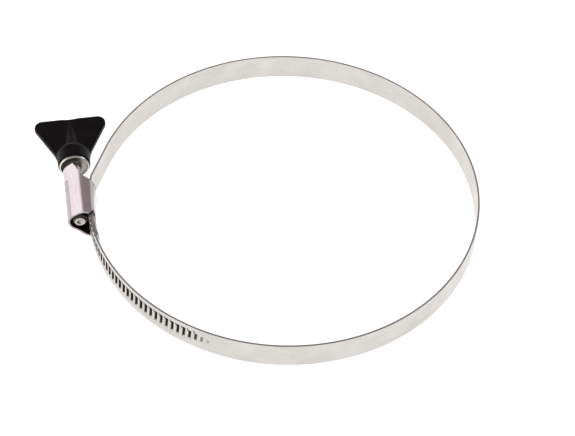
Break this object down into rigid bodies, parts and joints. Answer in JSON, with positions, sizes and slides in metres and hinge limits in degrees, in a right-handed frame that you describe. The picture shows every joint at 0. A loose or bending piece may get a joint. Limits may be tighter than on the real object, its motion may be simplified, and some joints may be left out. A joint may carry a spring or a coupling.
{
  "type": "worm-drive hose clamp with thumb key",
  "caption": "Round steel strap clamp with a grooved free end, a folded housing, a worm screw along the tangent and a black butterfly thumb key.",
  "frame": {"origin": "centre of the hose, at the middle of the strap's width", "axes": "+Z along the hose axis, -X towards the screw housing, +Y on the key's side"},
  "size_m": [0.1412, 0.1194, 0.0114],
  "materials": {
    "strap_steel": "satin rolled stainless strip",
    "housing_steel": "bright pressed stainless sheet",
    "screw_steel": "bright plated steel",
    "key_plastic": "satin black moulded nylon"
  },
  "bodies": {
    "housing": {"housing": "housing_steel", "band_hoop": "strap_steel"},
    "screw": {"worm_screw": "screw_steel", "thumb_key": "key_plastic"},
    "free_end": {"band_tongue": "strap_steel"}
  },
  "joints": [
    {"name": "screw_turn", "type": "hinge", "parent": "housing", "child": "screw", "pos_m": [-0.06259, -0.01183, 0], "axis": [0.1857, -0.9826, 0], "range_deg": [0, 9360]},
    {"name": "band_feed", "type": "hinge", "parent": "housing", "child": "free_end", "pos_m": [0.00099, 0.00283, 0], "axis": [0, 0, -1], "range_deg": [0, 47.6]}
  ],
  "couplings": [
    {"joint": "band_feed", "follows": "screw_turn", "ratio": 0.0050767}
  ]
}
